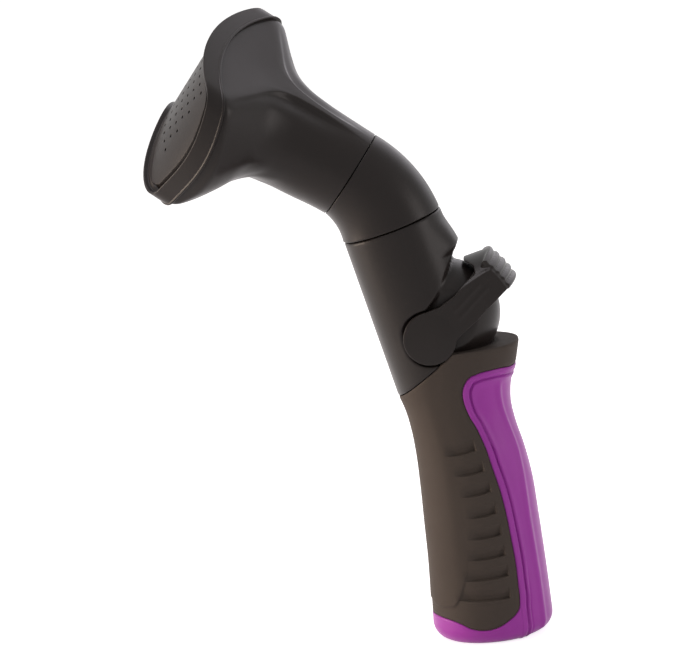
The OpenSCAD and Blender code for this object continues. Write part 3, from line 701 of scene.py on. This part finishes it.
def strip_inside(turn, z, curve):
    """Signed distance from the edge: positive on the coloured moulding, negative on the grip."""
    distance = away_from(curve, turn, z)
    corner = int(np.argmax(curve[:, 1] > STRIP_FROM))
    ring = curve[:corner]
    ring_z = np.interp(-np.abs(turn), -ring[:, 0], ring[:, 1])
    strip = curve[corner:]
    top = int(np.argmax(strip[:, 1]))
    side_turn = np.interp(z, strip[:top + 1, 1], strip[:top + 1, 0])
    below_ring = (z < ring_z) & (np.abs(turn) > ring[-1, 0] - 1e-6)
    in_strip = (np.abs(turn) < side_turn) & (z < strip[:top + 1, 1].max())
    over = strip[top:]
    top_z = np.interp(np.abs(turn), over[::-1, 0], over[::-1, 1])
    in_strip &= (np.abs(turn) > over[0, 0]) | (z < top_z)
    return np.where(below_ring | in_strip, distance, -distance)


# Distances from the edge of the moulding's first rows, and how far out each of them stands
EDGE_STEPS = [0, 0, 0.06, 0.2, 0.42, 0.7, 0.95]
EDGE_RISE = [-2.0, -0.6, -0.42, -0.24, -0.05, 0.04, 0.06]
NEAR_ROWS = 19
FAR_ROWS = 45
STRIP_LIP = 0.18
LINE_DEPTH = 0.85
RIDGE_HEIGHT = 0.6
# Radius and height of the rings that lead from the foot's edge into it
FOOT_RINGS = ((16.2, 0.0), (15.3, 0.0), (15.0, 0.4), (15.0, 4.0))


def build_coloured_moulding():
    """Foot ring and back strip: a skin ruled from its edge to the foot and the back's middle line.

    The edge drops into the seam, a raised lip runs beside it, then a fine groove, and a soft
    ridge runs up each side of the back.
    """
    count = 620
    edge = edge_curve(count)
    corner = int(np.argmax(edge[:, 1] > STRIP_FROM))
    foot_end = corner + 40
    inner = np.zeros_like(edge)
    inner[:foot_end, 0] = np.interp(np.arange(foot_end), [0, corner, foot_end - 1],
                                    [math.pi, edge[corner, 0] * 0.9, 0.0])
    rest = count - foot_end
    inner[foot_end:, 1] = np.linspace(0, 97.0, rest + 1)[1:]
    steps = np.concatenate([EDGE_STEPS, np.linspace(1.2, 5.6, NEAR_ROWS)])
    rise = np.concatenate([EDGE_RISE, np.full(NEAR_ROWS + FAR_ROWS, EDGE_RISE[-1])])[:, None]
    gap = inner - edge
    reach = np.linalg.norm(gap * np.array([SKIN_SCALE, 1.0]), axis=1)
    near = np.minimum(steps[:, None] / np.maximum(reach[None], 1e-6), 0.9)
    far = np.linspace(0, 1, FAR_ROWS + 1)[1:, None]
    share = np.concatenate([near, near[-1:] + (1 - near[-1:]) * far], axis=0)
    turn = edge[None, :, 0] + share * gap[None, :, 0]
    z = edge[None, :, 1] + share * gap[None, :, 1]
    points = handle_point(turn, z)
    normal = skin_normals(points, z, closed=False)
    strip = edge[corner:].copy()
    straight = np.stack([np.full(20, strip[0, 0]), np.linspace(-3, strip[0, 1], 20, endpoint=False)],
                        axis=-1)
    from_strip = away_from(np.vstack([straight, strip]), turn, z)
    in_strip = np.abs(turn) < np.interp(z, strip[:, 1], strip[:, 0], left=strip[0, 0])
    from_strip = np.where(in_strip, from_strip, -from_strip)
    relief = rise + STRIP_LIP * ease(from_strip, 0.2, 0.8) * (1 - ease(from_strip, 2.0, 2.5))
    relief = relief - LINE_DEPTH * bump(from_strip - 2.95, 0.36) + 0.14 * bump(from_strip - 3.8, 0.4)
    relief = relief - 0.45 * bump(from_strip - 4.7, 0.32) * (1 - ease(z, 14, 34))
    relief = relief - 0.3 * ease(from_strip, 3.4, 6.0) * (1 - ease(z, 98, 102))
    ridge = np.radians(smooth(z, [0, 13, 57, 78, 97, 105], [33, 33, 35, 31, 40, 42])) * SKIN_SCALE
    ridge_share = ease(z, 1.0, 3.0) * (1 - ease(z, 97.5, 101.0))
    relief = relief + RIDGE_HEIGHT * bump(np.abs(turn) * SKIN_SCALE - ridge, 1.5) * ridge_share
    right = points + normal * relief[..., None]
    right[..., 2] = np.maximum(right[..., 2], 0.0)
    left = right * np.array([1, -1, 1])
    around = right[-1, :foot_end]
    underside = []
    for r, up in FOOT_RINGS:
        flat = around[:, :2] / np.linalg.norm(around[:, :2], axis=1, keepdims=True) * r
        underside.append(np.column_stack([flat, np.full(len(flat), up)]))
    under = np.concatenate([around[None], np.array(underside)], axis=0)
    shapes = [right, left, under, under * np.array([1, -1, 1])]
    verts, faces, start = [], [], 0
    for number, shape in enumerate(shapes):
        grid = grid_faces(*shape.shape[:2])
        faces.append((grid if number % 2 == 0 else grid[:, ::-1]) + start)
        verts.append(shape.reshape(-1, 3))
        start += len(verts[-1])
    piece("foot_and_strip", np.vstack(verts), np.vstack(faces), PURPLE, "handle",
          ["handle_core"], weld=0.005)


GROOVE_FRONT = [122, 113, 107, 104, 103, 106, 109, 115]
GROOVE_REAR = [70, 69, 70, 71, 73, 75, 78, 81]
GROOVE_FRONT_Z = [18.1, 25.5, 33.5, 41.6, 49.8, 58.1, 66.3, 74.2]
GROOVE_REAR_Z = [17.6, 26.3, 34.3, 42.4, 50.9, 59.4, 67.5, 75.6]
GROOVE_ROWS = [-0.7, -0.45, -0.28, -0.16, -0.07, 0.0, 0.07, 0.14, 0.22, 0.34, 0.6, 1.0, 1.4, 1.7, 1.9, 2.1,
               2.4, 2.9, 3.4, 3.9, 4.2, 4.4, 4.6, 4.9, 5.6, 6.4]


GROOVE_DEPTH = 1.35
GROOVE_SAG = 0.5
# Lowest point of the grip, the height up to which its rows follow the grooves, and those below them
GRIP_LOW = 4.2
GRIP_SPLIT = 79.0
LOW_ROWS_TO = 16.8
LOW_ROW_STEP = 0.36
GRIP_BORE_R = 16.2
# The upper edge is level behind TOP_BREAK_X and falls to GRIP_FRONT_H over TOP_RUN in front of it
GRIP_FRONT_H = 95.5
TOP_BREAK_X = -4.0
TOP_RUN = 23.4


def groove_edge(number, angle):
    """Height of a groove's lower edge: a shallow sag between its front and rear ends."""
    front, rear = GROOVE_FRONT[number], GROOVE_REAR[number]
    low, high = GROOVE_FRONT_Z[number], GROOVE_REAR_Z[number]
    share = np.clip((front - angle) / (front - rear), 0, 1)
    return low + (high - low) * share - GROOVE_SAG * np.sin(math.pi * share)


def groove_levels(turn, low, high):
    """Rows of heights up the grip, dense at each groove's lower edge and parallel to it.

    Between two grooves a row is shifted by the blend of their two sags, and by nothing at the
    lowest and highest rows.
    """
    angle = np.degrees(np.abs(turn))
    rows = list(np.arange(low, LOW_ROWS_TO, LOW_ROW_STEP))
    rows += [base + step for base in GROOVE_FRONT_Z for step in GROOVE_ROWS]
    rows = np.unique(np.array(rows + [high]))
    rows = rows[np.concatenate([[True], np.diff(rows) > 0.03])]
    at = [low] + GROOVE_FRONT_Z + [high]
    sags = [groove_edge(n, angle) - start for n, start in enumerate(GROOVE_FRONT_Z)]
    sag = np.array([0 * angle] + sags + [0 * angle])
    place_in = np.clip(np.searchsorted(at, rows, side="right") - 1, 0, len(at) - 2)
    share = (rows - np.array(at)[place_in]) / np.diff(at)[place_in]
    shift = sag[place_in] * (1 - share[:, None]) + sag[place_in + 1] * share[:, None]
    return rows[:, None] + shift


def groove_relief(turn, z):
    """Finger grooves: scoops down both sides of the grip, each deepest at a sharp lower edge."""
    angle = np.degrees(np.abs(turn))
    relief = np.zeros_like(z)
    for number, (front, rear) in enumerate(zip(GROOVE_FRONT, GROOVE_REAR)):
        above = z - groove_edge(number, angle)
        scoop = ease(above, -0.03, 0.2) * (0.14 * (1 - ease(above, 4.3, 4.6))
                                           + 0.86 * (1 - ease(above, 0.25, 4.4)) ** 0.8)
        ends = ease(angle, rear - 0.3, rear + 0.9) * (1 - ease(angle, front - 13, front + 2))
        relief -= GROOVE_DEPTH * scoop * ends
        relief -= 0.1 * bump(above - 1.9, 0.22) * ends
        relief += 0.14 * bump(above + 0.35, 0.3) * ends
        tall = ease(above, -0.3, 0.2) * (1 - ease(above, 2.6, 3.8))
        relief += 0.22 * bump((angle - rear + 1.1) * 0.36, 0.34) * tall
    return relief


def top_height(turn):
    """Height of the grip's upper edge: level at the collar, sloping down to the front."""
    z = np.full_like(turn, COLLAR_H)
    for _ in range(12):
        x = handle_point(turn, z)[..., 0]
        z = np.minimum(COLLAR_H, COLLAR_H + (x - TOP_BREAK_X) * (COLLAR_H - GRIP_FRONT_H) / TOP_RUN)
    return z


def build_grip():
    """Soft grip: a closed sleeve over the handle's oval.

    Its outer skin sinks under the coloured moulding, and carries the finger grooves, the raised
    front pad and a rolled upper edge.
    """
    side = np.concatenate([np.linspace(0, 60, 14, endpoint=False),
                           np.linspace(60, 125, 104, endpoint=False), np.linspace(125, 180, 32)])
    turn = np.radians(np.concatenate([side, -side[-2:0:-1]]))
    level = groove_levels(turn, GRIP_LOW, GRIP_SPLIT)
    upper = np.linspace(0, 1, 42)[1:, None]
    top = top_height(turn) - 0.15
    rows = np.concatenate([level, level[-1] + (top - level[-1]) * upper], axis=0)
    turns = turn[None] + 0 * rows
    points = handle_point(turns, rows)
    normal = skin_normals(points, rows, closed=True)
    edge = edge_curve(400)
    inside = strip_inside(turns, rows, edge)
    relief = -2.3 * ease(inside, 0.25, 1.1) - 0.22 * ease(inside, -0.9, 0.0)
    relief = relief + groove_relief(turns, rows) * (1 - ease(inside, -1.5, 0))
    angle = np.degrees(np.abs(turns))
    pad_low = smooth(angle, [100, 107, 114, 122, 136, 150, 163, 180],
                     [60, 33.2, 23.9, 17.1, 14.9, 14.7, 15.6, 16.0])
    relief = relief + 0.45 * ease(rows - pad_low, -0.3, 0.5) * ease(angle, 104, 122)
    roll = top[None] - rows
    relief = relief - 0.3 * (1 - ease(roll, 0, 0.8)) ** 2
    skin = points + normal * relief[..., None]
    centre_x = -np.maximum(rows - BEND_H, 0) * math.tan(TILT)
    top_row = skin[-1]
    top_centre = np.stack([centre_x[-1], 0 * turn, top_row[:, 2]], axis=-1)
    inward = top_centre - top_row
    inward /= np.linalg.norm(inward, axis=1, keepdims=True)
    returns = [top_row + inward * reach + [0, 0, rise]
               for reach, rise in ((0.35, 0.1), (1.0, 0.12), (2.6, 0.1), (6.0, 0.0), (10.5, -0.1))]
    inner = [np.stack([GRIP_BORE_R * np.cos(turn) - max(z - BEND_H, 0) * math.tan(TILT),
                       GRIP_BORE_R * np.sin(turn), np.full(len(turn), z)], axis=-1)
             for z in (96.0, 80.0, 60.0, 10.0, GRIP_LOW)]
    local = np.concatenate([skin, np.array(returns), np.array(inner)], axis=0)
    faces = grid_faces(*local.shape[:2], closed=True)
    piece("soft_grip", local, faces, GRIP_RUBBER, "handle", ["rubber_grip"])


# ---------- valve casing and lever ----------

CASING_X = 0.2
CASING_LOW_R = 21.0
CASING_TOP_R = 19.3
CASING_FROM = -23.3
CASING_TO = 42.75
SHOULDER_OUT = 1.95
# The shoulder's underside: its reach back from the pivot, height there and slope
SHOULDER_UNDER = 18.4
SHOULDER_UNDER_UP = 25.2
SHOULDER_SLOPE = 0.875


def softened_copy(node, name, body, voxel, rounds, reshape, fill):
    """Copy of a node's solid with its corners rounded, then reshaped in the pivot's own frame.

    Its loose triangles are merged and remeshed in cubes of the given size. Hollows narrower than
    twice fill close up as the skin swells by fill, is remeshed and shrinks again. It is then
    smoothed, and reshape moves the points, in millimetres along (back, side, up) from the pivot.
    """
    mesh = frame["nodes"][node].data.copy()
    joined = bmesh.new()
    joined.from_mesh(mesh)
    bmesh.ops.remove_doubles(joined, verts=joined.verts, dist=1e-6)
    joined.to_mesh(mesh)
    joined.free()
    rough = new_object(name + "_rough", mesh)
    for strength in (fill, -fill):
        remesh = rough.modifiers.new("remesh", "REMESH")
        remesh.mode = "VOXEL"
        remesh.voxel_size = voxel * MM
        swelling = rough.modifiers.new("swell", "DISPLACE")
        swelling.strength = strength * MM
        swelling.mid_level = 0.0
    softening = rough.modifiers.new("soften", "SMOOTH")
    softening.factor = 0.5
    softening.iterations = rounds
    depsgraph = bpy.context.evaluated_depsgraph_get()
    soft = bpy.data.meshes.new_from_object(rough.evaluated_get(depsgraph))
    bpy.data.objects.remove(rough)
    flat = np.empty(len(soft.vertices) * 3)
    soft.vertices.foreach_get("co", flat)
    local = (flat.reshape(-1, 3) / MM - PIVOT) @ AT_PIVOT[:3, :3]
    points = moved(AT_PIVOT, reshape(local))
    soft.vertices.foreach_set("co", (points * MM).ravel())
    soft.polygons.foreach_set("use_smooth", np.ones(len(soft.polygons), bool))
    soft.update()
    soft.materials.clear()
    soft.materials.append(BLACK_MOULDING)
    soft.name = name
    obj = new_object(name, soft)
    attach(obj, body)
    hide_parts(node)


def swell_shoulder(local):
    """Shoulder that swells from the round casing at the back and fades out towards both sides.

    Skin points go to the casing's cone plus the swelling, but no further out than the plane that
    slopes in to the lever's opening.
    """
    back, side, up = local.T
    turn = np.abs(np.arctan2(side, back - CASING_X))
    radius = np.hypot(back - CASING_X, side)
    share = (up - CASING_FROM) / (CASING_TO - CASING_FROM)
    cone = CASING_LOW_R + (CASING_TOP_R - CASING_LOW_R) * share
    fade = 1 - ease(turn, math.radians(12), math.radians(50))
    swelling = SHOULDER_OUT * fade * ease(up, 24.0, 29.0) * (1 - ease(up, 28.0, 40.0)) ** 0.8
    slope = SHOULDER_SLOPE * (up - SHOULDER_UNDER_UP)
    opening = (SHOULDER_UNDER - CASING_X + slope) / np.maximum(np.cos(turn), 0.2)
    wanted = np.minimum(cone + swelling, opening)
    outside = np.minimum(cone, opening)
    skin = ease(radius, outside - 1.1, outside - 0.3)
    share = skin * ease(up, 25.6, 27.0) * (1 - ease(up, 40.0, 41.0)) * (turn < math.radians(80))
    factor = 1 + share * (wanted / radius - 1)
    return np.stack([CASING_X + (back - CASING_X) * factor, side * factor, up], axis=-1)


def along_line(back, up, start, end):
    """Distance from a line in the lever's side, and 1 between its ends falling to 0 beyond them."""
    start, end = np.array(start), np.array(end)
    reach = np.linalg.norm(end - start)
    way = (end - start) / reach
    along = (back - start[0]) * way[0] + (up - start[1]) * way[1]
    off = (back - start[0]) * -way[1] + (up - start[1]) * way[0]
    return off, ease(along, -0.5, 1.5) * (1 - ease(along, reach - 1.5, reach + 0.5))


LEVER_PLAN_X = [-30.0, 9.0, 28.0, 50.0]
LEVER_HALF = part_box("thumb_lever")[1][1] / MM
LEVER_PLAN_Y = [LEVER_HALF, LEVER_HALF, 16.2, 15.5]
# The two ridges along each arm, from (back, up) to (back, up)
ARM_RIDGES = (((12.6, 3.2), (27.5, 10.6)), ((12.0, 6.4), (25.4, 13.0)))
RIDGE_RISE = 0.2
DISC_CROWN = 0.45


def soften_lever(local):
    """Flowing outer sides for the lever, crowned pivot discs and two low ridges along each arm.

    The half width along the lever is the straight-sided plan averaged over 12 mm.
    """
    back, side, up = local.T
    plan = np.interp(back, LEVER_PLAN_X, LEVER_PLAN_Y)
    flowing = sum(np.interp(back + shift, LEVER_PLAN_X, LEVER_PLAN_Y) for shift in range(-6, 7, 2)) / 7
    outer = ease(np.abs(side), plan - 1.6, plan - 0.5)
    push = flowing - plan
    for start, end in ARM_RIDGES:
        off, within = along_line(back, up, start, end)
        push += RIDGE_RISE * bump(off, 0.75) * within
    push += DISC_CROWN * np.clip(1 - (back ** 2 + up ** 2) / 95.0, 0, 1)
    return np.stack([back, side + np.sign(side) * push * outer, up], axis=-1)


# ---------- hose socket ----------

THREAD_CREST_R = 12.4
THREAD_ROOT_R = 13.55
THREAD_PITCH = 25.4 / 11.5
THREAD_LENGTH = 11.9
SOCKET_R = 14.9
WASHER_R = 12.8
WASHER_FROM, WASHER_TO = 12.2, 15.2
SOCKET_TOP = 30.9


def build_hose_socket():
    """Threaded socket: a turned profile whose inner wall follows a 60 degree female thread.

    The wall's radius swings between crest and root with the height in pitches less the turn, so
    the thread climbs right-handed, and it runs out at the mouth and at the washer's seat.
    """
    turn = np.linspace(0, 2 * math.pi, 200, endpoint=False)
    z = np.linspace(0.5, THREAD_LENGTH, 104)[:, None]
    phase = (z / THREAD_PITCH - turn[None] / (2 * math.pi)) % 1.0
    open_share = np.clip((np.abs(2 * phase - 1) - 0.12) / 0.74, 0, 1)
    depth = (THREAD_ROOT_R - THREAD_CREST_R) * open_share
    lead_in = 1.3 * (1 - ease(z, 0.0, 1.6))
    wall = THREAD_CREST_R + np.maximum(depth * (1 - ease(z, 10.6, 11.8)), lead_in)
    before = np.array([(10.4, SOCKET_TOP), (10.4, 17.9), (10.8, 17.5), (14.5, 17.5), (SOCKET_R, 17.1),
                       (SOCKET_R, 0.3), (SOCKET_R - 0.3, 0.0), (THREAD_CREST_R + 1.45, 0.0)])
    after = np.array([(THREAD_CREST_R, WASHER_FROM), (WASHER_R, WASHER_FROM), (WASHER_R, WASHER_TO),
                      (7.0, WASHER_TO), (7.0, 23.9), (8.1, 23.9), (8.1, SOCKET_TOP)])
    radius = np.concatenate([before[:, :1] + 0 * turn, wall, after[:, :1] + 0 * turn], axis=0)
    height = np.concatenate([before[:, 1:], z, after[:, 1:]]) + 0 * radius
    points = np.stack([radius * np.cos(turn), radius * np.sin(turn), height], axis=-1)
    faces = grid_faces(*points.shape[:2], closed=True)
    socket = piece("hose_socket", points, faces, BLACK_MOULDING, "handle",
                   ["inlet_socket"])
    socket.data.set_sharp_from_angle(angle=math.radians(50))


# ---------- pieces kept from the frame ----------

KEPT = {
    "spray_plate": BLACK_EDGED, "flow_tube": BLACK_EDGED, "seat_retainer": BLACK_EDGED,
    "stem_left": BLACK_EDGED, "stem_right": BLACK_EDGED, "hose_washer": SEAL,
    "tube_oring_lower": SEAL, "tube_oring_upper": SEAL, "seat_oring": SEAL,
    "stem_oring_left": SEAL, "stem_oring_right": SEAL, "neck_oring": SEAL, "head_oring": SEAL,
    "plate_gasket": SEAL, "lower_seat": WHITE, "upper_seat": WHITE, "valve_ball": WHITE,
    "inlet_screen": STEEL, "neck_clip": STEEL, "head_clip": STEEL,
}


def dress_kept_nodes():
    """Gives each piece that keeps its solid shape its finish."""
    for name, material in KEPT.items():
        mesh = frame["nodes"][name].data
        mesh.materials.clear()
        mesh.materials.append(material)


# ---------- studio ----------

FLOOR_HALF = 6.0
FLOOR_GLOW = 0.78
SURROUND_LIGHT = 0.31
LAMP_TARGET = (-0.03, 0, 0.13)


def seen_directly(nodes, links):
    """1 for the rays that show the background: from the camera, in reflections and through glass."""
    path = nodes.new("ShaderNodeLightPath")
    seen = math_node(nodes, links, "MAXIMUM", path.outputs["Is Camera Ray"],
                     path.outputs["Is Transmission Ray"])
    return math_node(nodes, links, "MAXIMUM", seen, path.outputs["Is Glossy Ray"])


def build_floor():
    """White floor that fades into the white surroundings and keeps the sprayer's shadow.

    To the camera and in reflections it also glows, which brings its lit parts to full white.
    """
    mesh = bpy.data.meshes.new("studio_floor")
    corners = [(-1, -1), (1, -1), (1, 1), (-1, 1)]
    mesh.from_pydata([(FLOOR_HALF * x, FLOOR_HALF * y, 0) for x, y in corners], [], [(0, 1, 2, 3)])
    floor = new_object("studio_floor", mesh)
    material = bpy.data.materials.new("studio_white")
    material.use_nodes = True
    nodes, links = material.node_tree.nodes, material.node_tree.links
    shader = nodes["Principled BSDF"]
    shader.inputs["Base Color"].default_value = (0.86, 0.86, 0.86, 1)
    shader.inputs["Roughness"].default_value = 0.9
    shader.inputs["Emission Color"].default_value = (1, 1, 1, 1)
    glow = math_node(nodes, links, "MULTIPLY", seen_directly(nodes, links), FLOOR_GLOW)
    links.new(glow, shader.inputs["Emission Strength"])
    mesh.materials.append(material)


def build_world():
    """Even surroundings: full white to the camera and in reflections, soft light on the sprayer."""
    world = bpy.data.worlds.new("studio_world")
    bpy.context.scene.world = world
    world.use_nodes = True
    nodes, links = world.node_tree.nodes, world.node_tree.links
    soft = nodes["Background"]
    soft.inputs["Color"].default_value = (1.0, 0.95, 0.93, 1)
    soft.inputs["Strength"].default_value = SURROUND_LIGHT
    seen = nodes.new("ShaderNodeBackground")
    seen.inputs["Color"].default_value = (1, 1, 1, 1)
    seen.inputs["Strength"].default_value = 1.0
    mix = nodes.new("ShaderNodeMixShader")
    links.new(seen_directly(nodes, links), mix.inputs["Fac"])
    links.new(soft.outputs["Background"], mix.inputs[1])
    links.new(seen.outputs["Background"], mix.inputs[2])
    links.new(mix.outputs["Shader"], nodes["World Output"].inputs["Surface"])


def add_lamp(name, direction, distance, size, power, colour):
    """Square soft lamp at a distance from the sprayer's middle, facing it."""
    lamp = bpy.data.lights.new(name, "AREA")
    lamp.size = size
    lamp.energy = power
    lamp.color = colour
    obj = new_object(name, lamp)
    away = Vector(direction).normalized()
    obj.location = Vector(LAMP_TARGET) + away * distance
    obj.rotation_euler = (-away).to_track_quat("-Z", "Y").to_euler()


def build_lamps():
    """Cool overhead light, a warm one from the spray side, and weaker ones from the rear and behind."""
    add_lamp("overhead", (-0.45, -0.05, 1.0), 0.9, 0.5, 4.2, (1.0, 0.94, 1.0))
    add_lamp("spray_side", (-1.0, -0.05, 0.0), 0.85, 0.45, 8.4, (1.0, 0.81, 0.66))
    add_lamp("rear_side", (1.0, -0.25, 0.2), 1.0, 0.45, 2.2, (1.0, 0.92, 0.9))
    add_lamp("behind", (0.45, 0.8, 0.5), 1.0, 0.8, 2.0, (0.97, 0.9, 1.0))


def build_camera():
    """Camera a little above the sprayer and slightly behind its middle plane, rolled a few degrees."""
    elevation, azimuth, roll = (math.radians(v) for v in (11.0, 3.2, 6.4))
    distance, mm_per_pixel, sensor = 1300.0, 0.38, 36.0
    target = np.array([-24.0, 0.0, 125.0])
    picture = np.array([678.0, 664.0])
    target_pixel = np.array([397.8, 319.5])
    back = np.array([math.sin(azimuth) * math.cos(elevation), -math.cos(azimuth) * math.cos(elevation),
                     math.sin(elevation)])
    level = np.array([math.cos(azimuth), math.sin(azimuth), 0.0])
    upright = np.cross(back, level)
    right = level * math.cos(roll) - upright * math.sin(roll)
    up = level * math.sin(roll) + upright * math.cos(roll)
    matrix = np.eye(4)
    matrix[:3, 0], matrix[:3, 1], matrix[:3, 2] = right, up, back
    matrix[:3, 3] = (target + back * distance) * MM
    data = bpy.data.cameras.new("studio_camera")
    data.sensor_width = sensor
    data.lens = sensor * distance / (picture[0] * mm_per_pixel)
    data.shift_x = (picture[0] / 2 - target_pixel[0]) / picture[0]
    data.shift_y = (target_pixel[1] - picture[1] / 2) / picture[0]
    camera = new_object("studio_camera", data)
    camera.matrix_world = Matrix(matrix.tolist())
    bpy.context.scene.camera = camera


build_camera()
build_floor()
build_world()
build_lamps()
dress_kept_nodes()
build_neck()
build_face_rim()
build_head_shell()
build_coloured_moulding()
build_grip()
build_hose_socket()
softened_copy("valve_body", "valve_casing", "handle", 0.55, 6, swell_shoulder, 0.5)
softened_copy("thumb_lever", "thumb_lever_arm", "lever", 0.3, 7, soften_lever, 0.35)

bpy.context.scene.view_settings.view_transform = "Standard"
